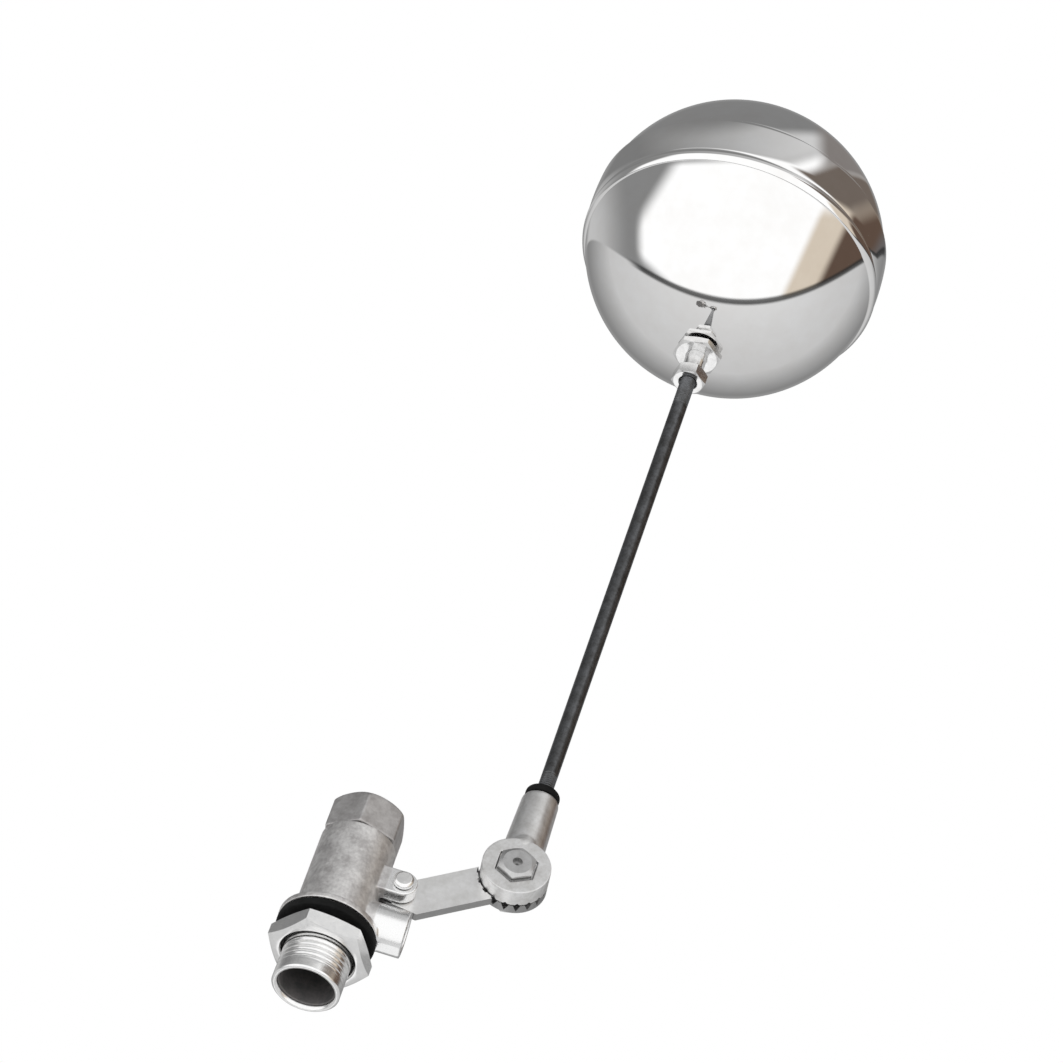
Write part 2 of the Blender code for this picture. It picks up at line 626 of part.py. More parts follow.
def sphere_arc(radius, from_x, to_x, steps):
    """Points (along, radius) on a sphere about the float's centre, between two values of X."""
    start = math.acos(max(-1, min(1, from_x / radius)))
    end = math.acos(max(-1, min(1, to_x / radius)))
    angles = [start + (end - start) * k / steps for k in range(steps + 1)]
    return [(FLOAT_X + radius * math.cos(a), radius * math.sin(a)) for a in angles]


def make_lower_shell():
    """The rod side: a bowl with a hole for the boss and a belt that laps over the upper shell."""
    outer, inner = FLOAT_RADIUS, FLOAT_RADIUS - SHELL_WALL
    hole = BOSS_SPIGOT_RADIUS + GAP
    hole_outer_x = -math.sqrt(outer**2 - hole**2)
    hole_inner_x = -math.sqrt(inner**2 - hole**2)
    step = BELT_HALF_WIDTH
    outline = sphere_arc(outer, hole_outer_x, -step - 0.6, 14)
    rise = BELT_MIDDLE_RADIUS - BELT_EDGE_RADIUS
    for share in (-0.96, -0.5, 0, 0.5, 1):
        outline.append((FLOAT_X + share * step, BELT_MIDDLE_RADIUS - rise * share**2))
    outline += [(FLOAT_X + step, BELT_INNER_RADIUS), (FLOAT_X - step + 1.2, BELT_INNER_RADIUS)]
    outline += sphere_arc(inner, -step, hole_inner_x, 14)
    place("float_lower_shell", lathe(outline, centre=(0, 0, KNUCKLE[1]), sides=48),
          "mirror_stainless", (FLOAT_X, 0, KNUCKLE[1]))


def make_upper_shell():
    """The far side: a bowl whose straight rim slides inside the lower shell's belt."""
    outer, inner = FLOAT_RADIUS, FLOAT_RADIUS - SHELL_WALL
    rim_x = FLOAT_X - BELT_HALF_WIDTH + 3.0
    outline = [(rim_x, LAP_RADIUS - SHELL_WALL), (rim_x, LAP_RADIUS)]
    outline += [(FLOAT_X + BELT_HALF_WIDTH - 1.0, LAP_RADIUS)]
    outline += sphere_arc(outer, BELT_HALF_WIDTH + 0.7, outer, 14)
    outline += sphere_arc(inner, inner, BELT_HALF_WIDTH - 0.5, 14)
    place("float_upper_shell", lathe(outline, centre=(0, 0, KNUCKLE[1]), sides=48),
          "mirror_stainless", (FLOAT_X, 0, KNUCKLE[1]))


def main():
    clear_scene()
    make_valve_body()
    make_seat_nozzle()
    make_flange_gasket()
    make_lock_nut()
    make_end_cap()
    make_pivot_pin()
    make_pivot_cotter()
    make_piston()
    make_piston_washer()
    make_washer_retainer()
    make_lever_arm()
    make_rod_holder()
    make_knuckle_bolt()
    make_knuckle_stack()
    make_holder_ring()
    make_float_rod()
    make_float_lock_nut()
    make_float_boss()
    make_lower_shell()
    make_upper_shell()


if __name__ == "__main__":
    main()
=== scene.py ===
"""Looks for the stainless float valve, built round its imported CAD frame."""

import json
import math

import bmesh
import bpy
from mathutils import Matrix, Vector


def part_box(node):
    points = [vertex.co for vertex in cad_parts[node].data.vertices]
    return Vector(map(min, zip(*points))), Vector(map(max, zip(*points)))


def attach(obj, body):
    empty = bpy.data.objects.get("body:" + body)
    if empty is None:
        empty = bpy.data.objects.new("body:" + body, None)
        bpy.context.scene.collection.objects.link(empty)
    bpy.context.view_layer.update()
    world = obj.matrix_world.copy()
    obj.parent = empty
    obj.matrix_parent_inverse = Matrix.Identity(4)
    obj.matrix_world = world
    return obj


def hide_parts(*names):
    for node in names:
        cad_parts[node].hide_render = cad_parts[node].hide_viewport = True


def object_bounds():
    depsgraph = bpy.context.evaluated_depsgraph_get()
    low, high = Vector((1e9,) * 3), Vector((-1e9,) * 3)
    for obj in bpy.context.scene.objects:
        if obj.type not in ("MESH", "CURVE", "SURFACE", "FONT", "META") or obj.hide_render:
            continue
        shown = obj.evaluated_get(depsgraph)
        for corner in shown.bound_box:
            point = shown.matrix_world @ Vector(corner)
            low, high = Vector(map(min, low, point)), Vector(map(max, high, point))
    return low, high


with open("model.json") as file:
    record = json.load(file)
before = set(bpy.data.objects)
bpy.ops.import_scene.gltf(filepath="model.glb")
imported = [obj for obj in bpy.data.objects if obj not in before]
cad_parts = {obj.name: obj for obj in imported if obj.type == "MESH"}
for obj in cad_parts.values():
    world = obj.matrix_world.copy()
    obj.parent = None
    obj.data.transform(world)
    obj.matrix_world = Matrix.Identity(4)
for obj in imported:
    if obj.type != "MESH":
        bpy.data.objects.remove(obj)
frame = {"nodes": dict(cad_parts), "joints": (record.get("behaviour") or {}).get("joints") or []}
CAD_LOW, CAD_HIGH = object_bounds()

MM = 0.001
GAP = 0.3                                # clearance between touching pieces, in mm as below

ALONG_X = Matrix(((0, 0, 1), (1, 0, 0), (0, 1, 0))).to_4x4()
ALONG_Y = Matrix(((1, 0, 0), (0, 0, 1), (0, -1, 0))).to_4x4()
ALONG_Z = Matrix.Identity(4)


def span(node):
    """Lowest and highest corner of a CAD node, in millimetres."""
    low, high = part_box(node)
    return low / MM, high / MM


def joint_point(name):
    found = next(joint for joint in frame["joints"] if joint["name"] == name)
    return Vector(found["pos_m"]) / MM


BODY_LOW, BODY_HIGH = span("valve_body")
KNUCKLE = joint_point("knuckle_adjust")
PIVOT = joint_point("lever_swing")
ROD_AXIS = (0, 0, KNUCKLE.z)
LOWER_LOW, LOWER_HIGH = span("float_lower_shell")
UPPER_LOW, UPPER_HIGH = span("float_upper_shell")

# Inlet and cast body
NIPPLE_RADIUS = 20.955 / 2               # G1/2 parallel thread
NIPPLE_BORE = 8.5
MOUTH_RADIUS = 9.1
THREAD_PITCH = 1.814
THREAD_DEPTH = 0.16                      # drawn shallow, to look nearly smooth; a G1/2 is 1.16
BORE_SLEEVE = 0.3                        # wall of the sleeve that lines the inlet and carries its painted shade
FLANGE_RADIUS = 15.4
FLANGE_THICKNESS = 2.0
FLANGE_FILLET = 1.4
BARREL_RADIUS = 11.7
CHAMBER_RADIUS = 8.7
SPOUT_X = 6.9
SPOUT_RADIUS = 7.2
SPOUT_BORE = 5.3
EAR_RADIUS = 4.4
EAR_Y = (1.9, 6.5)
PIN_RADIUS = 1.6
PIN_HEAD_RADIUS = 3.1
PIN_HEAD_RISE = 0.9                      # its dome, beyond the solid's flat head
COTTER_WIRE = 0.55

# Hexagons
NUT_FLATS = 28.0
NUT_TURN = math.radians(40)
CAP_FLATS = 21.5
CAP_TURN = math.radians(54)
CAP_EDGE_RADIUS = 4.6
BOLT_FLATS = 10.6
POCKET_FLATS = 11.8
SMALL_FLATS = 10.0
BOSS_FLATS = 14.0
SMALL_TURN = 0.3                         # radians, of the two hexagons by the float

# Lever and knuckle
LEVER_HALF = 1.5
ARM_HALF_WIDTH = 6.1
ARM_SLOPE = math.radians(36)
TONGUE_LENGTH = 16.5
TONGUE_LEAN = math.radians(9)
TONGUE_HALF_WIDTH = 2.4
HEEL_X = 14.5
HEEL_TOP = (15.7, -15.3)
DISC_RADIUS = 10.5
DISC_SPLIT_Y = -0.6
DISC_BACK_Y = 2.9
SERRATIONS = 18
SERRATION_WIDTH = 2.0                    # in the holder's disc
SERRATION_DEPTH = 1.0
LEVER_NOTCH_WIDTH = 2.7                  # in the lever's disc
LEVER_NOTCH_DEPTH = 2.9
POCKET_FLOOR_Y = -5.85
BOLT_RADIUS = 3.0
FLAT_WASHER_RADIUS = 6.2
SPRING_WASHER_RADIUS = 5.2
SOCKET_RADIUS = 6.4
SOCKET_END_RADIUS = 5.8
SOCKET_END_ROUND = 1.6
SOCKET_FREE_X = 50.4
SOCKET_FLOOR_X = 53.0
ROD_RADIUS = 2.5

# Float
FLOAT_RADIUS = 49.4
SHELL_WALL = 0.8
BELT_HALF_WIDTH = 9.2
BELT_EDGE_RADIUS = 49.35
BELT_MIDDLE_RADIUS = 49.8
FLOAT_X = LOWER_HIGH.x - BELT_HALF_WIDTH
ROLLED_EDGE = (                          # the belt's lower bead: along, and out from its edge
    (-1.25, -0.68), (-1.0, -0.42), (-0.6, -0.10), (-0.1, 0.16), (0.6, 0.34), (1.4, 0.38),
    (2.0, 0.28), (2.4, 0.12), (2.65, 0.02), (2.85, 0.02), (3.1, 0.09), (3.7, 0.22),
)
BOSS_FRONT_X = 269.5
BOSS_BACK_X = 272.1
BOSS_NECK_RADIUS = 3.5
BOSS_BASE_RADIUS = 4.6
FLOAT_HOLE_RADIUS = 4.9
BELT_INNER_RADIUS = 48.75
LAP_RADIUS = 48.4                        # upper shell's rim, inside the belt


# Meshes, in row-frame millimetres ---------------------------------------------------------------


def turned(profile, axes=ALONG_X, centre=(0, 0, 0), sides=128, wave=None):
    """Turn a closed outline of (along, radius) points; wave varies the radius by place."""
    mesh = bmesh.new()
    rings = []
    for along, radius in profile:
        if radius < 1e-6:
            rings.append([mesh.verts.new((0, 0, along))])
            continue
        ring = []
        for k in range(sides):
            angle = math.tau * k / sides
            reach = radius + (wave(along, radius, angle) if wave else 0)
            ring.append(mesh.verts.new((reach * math.cos(angle), reach * math.sin(angle), along)))
        rings.append(ring)
    for low, high in zip(rings, rings[1:] + rings[:1]):
        if len(low) == 1 and len(high) == 1:
            continue
        for k in range(sides):
            j = (k + 1) % sides
            if len(low) == 1:
                mesh.faces.new((low[0], high[j], high[k]))
            elif len(high) == 1:
                mesh.faces.new((low[k], low[j], high[0]))
            else:
                mesh.faces.new((low[k], low[j], high[j], high[k]))
    bmesh.ops.recalc_face_normals(mesh, faces=mesh.faces)
    bmesh.ops.transform(mesh, matrix=Matrix.Translation(centre) @ axes, verts=mesh.verts)
    return mesh


def rounded(profile, radius):
    """Replace each corner of a closed outline that isn't on the axis with a small curve."""
    points = []
    for k, point in enumerate(profile):
        if point[1] < 1e-6:
            points.append(point)
            continue
        here = Vector(point)
        back = Vector(profile[k - 1]) - here
        ahead = Vector(profile[(k + 1) % len(profile)]) - here
        cut = min(radius, 0.45 * back.length, 0.45 * ahead.length)
        start = here + cut * back.normalized()
        end = here + cut * ahead.normalized()
        for share in (0, 0.25, 0.5, 0.75, 1):
            at = start.lerp(here, share).lerp(here.lerp(end, share), share)
            points.append((at.x, at.y))
    return points


def run(low, high, radius, step):
    """Evenly spaced points at one radius, close enough to carry a thread."""
    count = max(1, round((high - low) / step))
    return [(low + (high - low) * k / count, radius) for k in range(count + 1)]


def thread(start, end, pitch, depth, root_above, fade=1.2):
    """A helical groove on every point whose radius is above a limit, fading out at both ends."""
    def wave(along, radius, angle):
        if radius < root_above:
            return 0
        inside = min(1, max(0, (along - start) / fade)) * min(1, max(0, (end - along) / fade))
        ridge = 1 - abs(2 * ((along / pitch - angle / math.tau) % 1) - 1)
        return -depth * inside * min(1, max(0, (ridge - 0.15) / 0.7))
    return wave


def prism(outline, low, high, axes=ALONG_X, centre=(0, 0, 0)):
    mesh = bmesh.new()
    base = mesh.faces.new([mesh.verts.new((x, y, low)) for x, y in outline])
    lifted = bmesh.ops.extrude_face_region(mesh, geom=[base])["geom"]
    top = [item for item in lifted if isinstance(item, bmesh.types.BMVert)]
    bmesh.ops.translate(mesh, vec=(0, 0, high - low), verts=top)
    bmesh.ops.recalc_face_normals(mesh, faces=mesh.faces)
    bmesh.ops.transform(mesh, matrix=Matrix.Translation(centre) @ axes, verts=mesh.verts)
    return mesh


def side_plate(outline, low_y, high_y):
    """Extrude an outline of (X, Z) points between two values of Y."""
    return prism([(x, -z) for x, z in outline], low_y, high_y, ALONG_Y)


def block(x_range, y_range, z_range):
    (x0, x1), (z0, z1) = x_range, z_range
    return side_plate([(x0, z0), (x1, z0), (x1, z1), (x0, z1)], *y_range)


def arc(centre, radius, start, end, steps):
    angles = [start + (end - start) * k / steps for k in range(steps + 1)]
    return [(centre[0] + radius * math.cos(a), centre[1] + radius * math.sin(a)) for a in angles]


def hexagon(flats, turn=0.0):
    return arc((0, 0), flats / math.sqrt(3), turn, turn + math.tau * 5 / 6, 5)


def plug(radius, low, high, axes=ALONG_X, centre=(0, 0, 0), sides=64):
    return turned([(low, 0), (low, radius), (high, radius), (high, 0)], axes, centre, sides)


def ball(radius, centre, squash=(1, 1, 1)):
    mesh = bmesh.new()
    bmesh.ops.create_uvsphere(mesh, u_segments=32, v_segments=20, radius=radius)
    bmesh.ops.scale(mesh, vec=squash, verts=mesh.verts)
    bmesh.ops.translate(mesh, vec=centre, verts=mesh.verts)
    return mesh


def serrations(face_y, width, depth):
    """Radial V grooves round the knuckle, deepest at the rim, centred on one face."""
    mesh = bmesh.new()
    for k in range(SERRATIONS):
        angle = math.tau * k / SERRATIONS
        outward = Vector((math.cos(angle), 0, math.sin(angle)))
        across = Vector((-math.sin(angle), 0, math.cos(angle)))
        ends = []
        for radius, share in ((5.4, 0.2), (DISC_RADIUS + 0.8, 1.0)):
            base = Vector((KNUCKLE.x, face_y, KNUCKLE.z)) + radius * outward
            half, deep = share * width / 2, share * depth
            corners = (half * across, Vector((0, deep, 0)), -half * across, Vector((0, -deep, 0)))
            ends.append([mesh.verts.new(base + corner) for corner in corners])
        for j in range(4):
            i = (j + 1) % 4
            mesh.faces.new((ends[0][j], ends[0][i], ends[1][i], ends[1][j]))
        mesh.faces.new(ends[0])
        mesh.faces.new(ends[1])
    bmesh.ops.recalc_face_normals(mesh, faces=mesh.faces)
    return mesh


# Objects ----------------------------------------------------------------------------------------


def thing(name, mesh):
    bmesh.ops.scale(mesh, vec=(MM, MM, MM), verts=mesh.verts)
    data = bpy.data.meshes.new(name)
    mesh.to_mesh(data)
    mesh.free()
    data.shade_smooth()
    made = bpy.data.objects.new(name, data)
    bpy.context.scene.collection.objects.link(made)
    return made


def boolean(target, operation, mesh):
    """Combine with a shape at once and keep nothing of it behind."""
    other = thing(f"{target.name}_tool", mesh)
    step = target.modifiers.new("boolean", "BOOLEAN")
    step.operation, step.solver, step.object = operation, "EXACT", other
    settle(target)
    bpy.data.objects.remove(other, do_unlink=True)


def cut(target, mesh):
    boolean(target, "DIFFERENCE", mesh)


def add(target, mesh):
    boolean(target, "UNION", mesh)


def settle(target):
    """Turn what the modifiers make into the object's own mesh."""
    made = target.evaluated_get(bpy.context.evaluated_depsgraph_get())
    data = bpy.data.meshes.new_from_object(made)
    target.modifiers.clear()
    target.data = data


def cast(target, voxel, rounds):
    """Blend the joins of a casting into each other, as a mould does."""
    remesh = target.modifiers.new("remesh", "REMESH")
    remesh.mode, remesh.voxel_size, remesh.use_smooth_shade = "VOXEL", voxel * MM, True
    smooth = target.modifiers.new("smooth", "SMOOTH")
    smooth.factor, smooth.iterations = 0.5, rounds
    settle(target)


def bevel(target, width, segments=3, angle=30):
    step = target.modifiers.new("bevel", "BEVEL")
    step.width, step.segments = width * MM, segments
    step.limit_method, step.angle_limit = "ANGLE", math.radians(angle)
    step.harden_normals = True
    target.data.shade_smooth()


def join_frame(target, body, slot, look, *nodes):
    target.data.materials.clear()
    target.data.materials.append(look)
    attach(target, body)
    if nodes:
        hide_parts(*nodes)


# Materials --------------------------------------------------------------------------------------


class Nodes:
    """Short ways to add nodes to one node tree."""

    def __init__(self, tree):
        self.tree = tree

    def add(self, kind, **inputs):
        node = self.tree.nodes.new(kind)
        for name, value in inputs.items():
            self.feed(node.inputs[name.replace("_", " ")], value)
        return node

    def feed(self, socket, value):
        if isinstance(value, bpy.types.NodeSocket):
            self.tree.links.new(value, socket)
        else:
            socket.default_value = value

    def math(self, operation, a, b=0.0):
        node = self.tree.nodes.new("ShaderNodeMath")
        node.operation = operation
        self.feed(node.inputs[0], a)
        self.feed(node.inputs[1], b)
        return node.outputs[0]

    def ramp(self, value, low, high, from_=0.0, to=1.0, smooth=False):
        node = self.tree.nodes.new("ShaderNodeMapRange")
        node.interpolation_type = "SMOOTHSTEP" if smooth else "LINEAR"
        for k, item in enumerate((value, low, high, from_, to)):
            self.feed(node.inputs[k], item)
        return node.outputs[0]

    def mix(self, share, a, b):
        node = self.tree.nodes.new("ShaderNodeMix")
        node.data_type = "RGBA"
        self.feed(node.inputs[0], share)
        self.feed(node.inputs[6], a)
        self.feed(node.inputs[7], b)
        return node.outputs[2]

    def noise(self, vector, scale, detail=4.0, roughness=0.55):
        node = self.add("ShaderNodeTexNoise", Vector=vector, Scale=scale, Detail=detail,
                        Roughness=roughness)
        return node.outputs["Fac"]

    def stretched(self, vector, scale):
        node = self.tree.nodes.new("ShaderNodeMapping")
        self.feed(node.inputs["Vector"], vector)
        node.inputs["Scale"].default_value = scale
        return node.outputs["Vector"]


def grey(level, tint=(1, 1, 1)):
    return (level * tint[0], level * tint[1], level * tint[2], 1.0)


def finish(name, light, dark, roughness, metallic=1.0, patch=260, grain=2600, stretch=(1, 1, 1),
           bump=0.02, wear_and_crevice_shade=0.0, brighter_below=None, shaded_edges=False):
    """A surface with patches of tone, a fine grain in height and gloss, paler worn edges and
    painted shade in its creases.

    Below a height in millimetres it can turn brighter and glossier.
    Plate can take painted shade on its edges, which are the faces that don't look along Y."""
    made = bpy.data.materials.new(name)
    made.use_nodes = True
    nodes = Nodes(made.node_tree)
    shader = made.node_tree.nodes["Principled BSDF"]
    place = nodes.add("ShaderNodeTexCoord").outputs["Object"]
    coarse = nodes.noise(place, patch, 5.0)
    close = nodes.noise(place, patch * 3.7, 3.0)
    tone = nodes.math("ADD", nodes.math("MULTIPLY", coarse, 0.6),
                      nodes.math("MULTIPLY", close, 0.4))
    fine = nodes.noise(nodes.stretched(place, stretch), grain, 6.0)
    colour = nodes.mix(nodes.ramp(tone, 0.36, 0.62), dark, light)
    if wear_and_crevice_shade:
        edge = nodes.add("ShaderNodeNewGeometry").outputs["Pointiness"]
        worn = nodes.math("MULTIPLY", nodes.ramp(edge, 0.51, 0.56), wear_and_crevice_shade)
        colour = nodes.mix(worn, colour, grey(0.9))
        # painted shade: creases and recesses, where pointiness is low, darken nearly to black
        colour = nodes.mix(nodes.ramp(edge, 0.42, 0.485, 0.8, 0), colour, grey(0.06))
    blend = nodes.math("ADD", nodes.math("MULTIPLY", tone, 0.5),
                       nodes.math("MULTIPLY", fine, 0.5))
    gloss = nodes.ramp(blend, 0.3, 0.7, *roughness)
    if brighter_below is not None:
        up = nodes.add("ShaderNodeSeparateXYZ", Vector=place).outputs["Z"]
        lower_share = nodes.ramp(up, (brighter_below - 0.6) * MM, brighter_below * MM, 1, 0)
        colour = nodes.mix(lower_share, colour, nodes.mix(tone, grey(0.84), grey(0.93)))
        gloss = nodes.math("MULTIPLY", gloss, nodes.ramp(lower_share, 0, 1, 1, 0.55))
    # painted shade on the plate's edge faces, those that don't look along Y
    if shaded_edges:
        facing = nodes.add("ShaderNodeTexCoord").outputs["Normal"]
        facing = nodes.add("ShaderNodeSeparateXYZ", Vector=facing).outputs["Y"]
        side = nodes.ramp(nodes.math("ABSOLUTE", facing), 0.45, 0.75, 0.75, 0)
        colour = nodes.mix(side, colour, grey(0.22))
    nodes.feed(shader.inputs["Base Color"], colour)
    nodes.feed(shader.inputs["Roughness"], gloss)
    shader.inputs["Metallic"].default_value = metallic
    if not metallic:
        shader.inputs["Specular IOR Level"].default_value = 0.12
    height = nodes.add("ShaderNodeBump", Strength=0.6, Distance=bump * MM, Height=fine)
    nodes.feed(shader.inputs["Normal"], height.outputs["Normal"])
    return made


CAST = finish("satin_cast", grey(0.84, (1.0, 0.99, 0.98)), grey(0.52, (1.0, 0.97, 0.96)),
              (0.40, 0.56), patch=230, grain=1500, bump=0.035, wear_and_crevice_shade=0.30, brighter_below=-12.2)
CAP = finish("satin_cast_cap", grey(0.62, (1.0, 0.985, 0.98)), grey(0.44, (1.0, 0.97, 0.96)),
             (0.48, 0.62), patch=240, grain=1500, bump=0.05)
HOLDER = finish("satin_cast_light", grey(0.88), grey(0.70, (1.0, 0.99, 0.97)), (0.30, 0.44),
                patch=260, grain=1600, bump=0.05, wear_and_crevice_shade=0.3)
BRIGHT = finish("bright_turned", grey(0.94, (1.0, 0.995, 0.985)), grey(0.82), (0.16, 0.30),
                patch=200, grain=2200, stretch=(5, 1, 1), bump=0.012, wear_and_crevice_shade=0.3)
BOLT = finish("forged_bolt", grey(0.46), grey(0.32, (1.0, 0.99, 0.98)), (0.28, 0.42),
              patch=420, grain=2400, bump=0.02, wear_and_crevice_shade=0.35)
FITTING = finish("bright_fitting", grey(0.86), grey(0.62, (1.0, 0.995, 0.985)), (0.10, 0.20),
                 patch=320, grain=2200, bump=0.008, wear_and_crevice_shade=0.3)
# painted shade for the insides of bores
BORE = finish("unlit_bore", grey(0.26, (1.0, 0.94, 0.93)), grey(0.17), (0.62, 0.80),
              patch=300, grain=1700, bump=0.04)
# pressed plate; its edge faces carry painted shade
PLATE = finish("satin_plate", grey(0.89), grey(0.76, (1.0, 0.995, 0.98)), (0.30, 0.42),
               patch=160, grain=1800, stretch=(1, 1, 4), bump=0.02, shaded_edges=True)
MIRROR = finish("mirror_polish", grey(0.91), grey(0.87, (1.0, 0.99, 0.98)), (0.02, 0.05),
                patch=60, grain=1400, stretch=(6, 1, 1), bump=0.0015)
ROD = finish("drawn_rod", grey(0.17, (0.97, 1.0, 1.05)), grey(0.09), (0.28, 0.42),
             patch=300, grain=3000, stretch=(0.05, 1, 1), bump=0.02)
# black rubber for the gasket, and painted shade on the socket collar
BLACK_RUBBER_AND_SHADE = finish("black_rubber_matt", grey(0.008), grey(0.004), (0.62, 0.80), metallic=0.0,
                patch=300, grain=2400, bump=0.04)
SEAL = finish("seal_rubber_matt", grey(0.05), grey(0.03), (0.62, 0.8), metallic=0.0,
              patch=300, grain=2400, bump=0.03)


# Body and its fittings --------------------------------------------------------------------------


def make_inlet():
    """The threaded inlet, and a dark sleeve inside it that paints shade on its bore."""
    start, wall = BODY_LOW.x, NIPPLE_BORE + BORE_SLEEVE
    profile = [(start, MOUTH_RADIUS), (start, NIPPLE_RADIUS - 0.5)]
    profile += run(start + 0.5, 1.0, NIPPLE_RADIUS, 0.1)
    profile += [(1.0, wall), (start + 1.6, wall)]
    wave = thread(start + 3.0, -3.4, THREAD_PITCH, THREAD_DEPTH, NIPPLE_RADIUS - 0.1)
    inlet = thing("inlet_thread", turned(profile, sides=192, wave=wave))
    join_frame(inlet, "body", "cast_body", BRIGHT)
    # painted shade: a thin dark sleeve where the inlet's bore lies in shade
    sleeve = [(start + 1.6, NIPPLE_BORE + 0.2), (start + 1.6, wall), (1.0, wall),
              (1.0, NIPPLE_BORE),
              (start + 2.0, NIPPLE_BORE)]
    bore = thing("inlet_bore", turned(sleeve, sides=128))
    join_frame(bore, "body", "cast_body", BORE)


def make_cast_body():
    end = BODY_HIGH.x
    profile = [
        (0, FLANGE_RADIUS), (FLANGE_THICKNESS, FLANGE_RADIUS),
        (FLANGE_THICKNESS, BARREL_RADIUS + FLANGE_FILLET),
        (FLANGE_THICKNESS + FLANGE_FILLET, BARREL_RADIUS),
        (end, BARREL_RADIUS), (end, CHAMBER_RADIUS), (1.0, CHAMBER_RADIUS), (1.0, 6.2),
        (-0.2, 6.2), (-0.2, NIPPLE_BORE), (0, NIPPLE_BORE),
    ]
    body = thing("cast_body", turned(profile))
    mouth = BODY_LOW.z
    add(body, plug(SPOUT_RADIUS, mouth, -CHAMBER_RADIUS - 0.4, ALONG_Z, (SPOUT_X, 0, 0), 96))
    for side in (-1, 1):
        outline = arc((PIVOT.x, PIVOT.z), EAR_RADIUS, math.pi, math.tau, 24)
        outline += [(PIVOT.x + EAR_RADIUS, -9.8), (PIVOT.x - EAR_RADIUS, -9.8)]
        add(body, side_plate(outline, *sorted((side * EAR_Y[0], side * EAR_Y[1]))))
    cut(body, block((-6, 0), (-20, 20), (-32, -NIPPLE_RADIUS - 0.1)))
    cut(body, plug(SPOUT_BORE, mouth - 1, -6, ALONG_Z, (SPOUT_X, 0, 0)))
    cut(body, block((15.2, 25.2), (-EAR_Y[0], EAR_Y[0]), (-13.5, -3)))
    cast(body, 0.26, 7)
    join_frame(body, "body", "cast_body", CAST, "valve_body")


def make_gasket():
    low, high = span("flange_gasket")
    hole, rim = NIPPLE_RADIUS + GAP, high.z
    profile = rounded([(low.x, hole), (low.x, rim), (high.x, rim), (high.x, hole)], 0.7)
    gasket = thing("gasket_ring", turned(profile, sides=160))
    join_frame(gasket, "body", "black_rubber", BLACK_RUBBER_AND_SHADE, "flange_gasket")


def make_lock_nut():
    low, high = span("lock_nut")
    front, back = low.x, high.x
    nut = thing("hexagon_lock_nut", prism(hexagon(NUT_FLATS, NUT_TURN), front, back))
    corner = NUT_FLATS / math.sqrt(3) + 0.4
    cone = [
        (front - 1, 0), (front - 1, NUT_FLATS / 2 - 2.6), (front + 1.5, corner),
        (back - 0.75, corner), (back, NUT_FLATS / 2), (back + 1, NUT_FLATS / 2 - 1), (back + 1, 0),
    ]
    boolean(nut, "INTERSECT", turned(cone))
    hole = NIPPLE_RADIUS + 3 * GAP       # its thread roots, which leave a dark ring round the inlet
    bore = [(front - 1, 0), (front - 1, hole + 1.2), (front + 0.6, hole), (back + 2, hole),
            (back + 2, 0)]
    cut(nut, turned(bore))
    bevel(nut, 0.3, 3)
    join_frame(nut, "nut", "bright_turned", BRIGHT, "lock_nut")


def make_end_cap():
    low, high = span("end_cap")
    start, end = BODY_HIGH.x + GAP, high.x
    cap = thing("hexagon_end_cap", prism(hexagon(CAP_FLATS, CAP_TURN), start, end))
    reach = CAP_FLATS / math.sqrt(3) + 0.4
    dome = [(start - 1, 0), (start - 1, reach), (start, reach)]
    edge_centre = (end - CAP_EDGE_RADIUS, reach - CAP_EDGE_RADIUS)
    dome += arc(edge_centre, CAP_EDGE_RADIUS, math.pi / 2, 0, 16)
    dome.append((end, 0))
    boolean(cap, "INTERSECT", turned(dome))
    add(cap, plug(CHAMBER_RADIUS - GAP, low.x, start + 1, sides=96))
    cast(cap, 0.24, 24)
    join_frame(cap, "body", "cast_body", CAP, "end_cap")


def make_pivot():
    centre = (PIVOT.x, 0, PIVOT.z)
    low, high = span("pivot_pin")
    back = -EAR_Y[1] - GAP
    front, head = low.y - PIN_HEAD_RISE, PIN_HEAD_RADIUS
    profile = rounded([
        (front, 0), (front, head - 0.7), (front + 0.6, head), (back, head), (back, PIN_RADIUS),
        (high.y, PIN_RADIUS), (high.y, 0),
    ], 0.3)
    pin = thing("pivot_pin_headed", turned(profile, ALONG_Y, centre, 48))
    join_frame(pin, "body", "bright_turned", BRIGHT, "pivot_pin")


def make_cotter():
    """The split pin: a shank through the pin, a round eye and a spread tail."""
    low, high = span("pivot_cotter")
    y, x, z = (low.y + high.y) / 2, PIVOT.x, PIVOT.z
    route = [(x - 1.5, z - 4.4), (x - 0.5, z - 2.9), (x, z - 2.2), (x, z + 1.6)]
    route += arc((x, z + 3.6), 1.2, -math.pi / 2, math.pi * 1.35, 20)
    curve = bpy.data.curves.new("split_pin", "CURVE")
    curve.dimensions = "3D"
    curve.bevel_depth = COTTER_WIRE * MM
    curve.bevel_resolution = 5
    curve.use_fill_caps = True
    line = curve.splines.new("POLY")
    line.points.add(len(route) - 1)
    for point, (px, pz) in zip(line.points, route):
        point.co = (px * MM, y * MM, pz * MM, 1)
    made = bpy.data.objects.new("split_pin_curve", curve)
    bpy.context.scene.collection.objects.link(made)
    data = bpy.data.meshes.new_from_object(
        made.evaluated_get(bpy.context.evaluated_depsgraph_get()))
    bpy.data.objects.remove(made, do_unlink=True)
    pin = bpy.data.objects.new("split_pin", data)
    bpy.context.scene.collection.objects.link(pin)
    data.shade_smooth()
    join_frame(pin, "body", "bright_turned", BRIGHT, "pivot_cotter")


# Lever ------------------------------------------------------------------------------------------


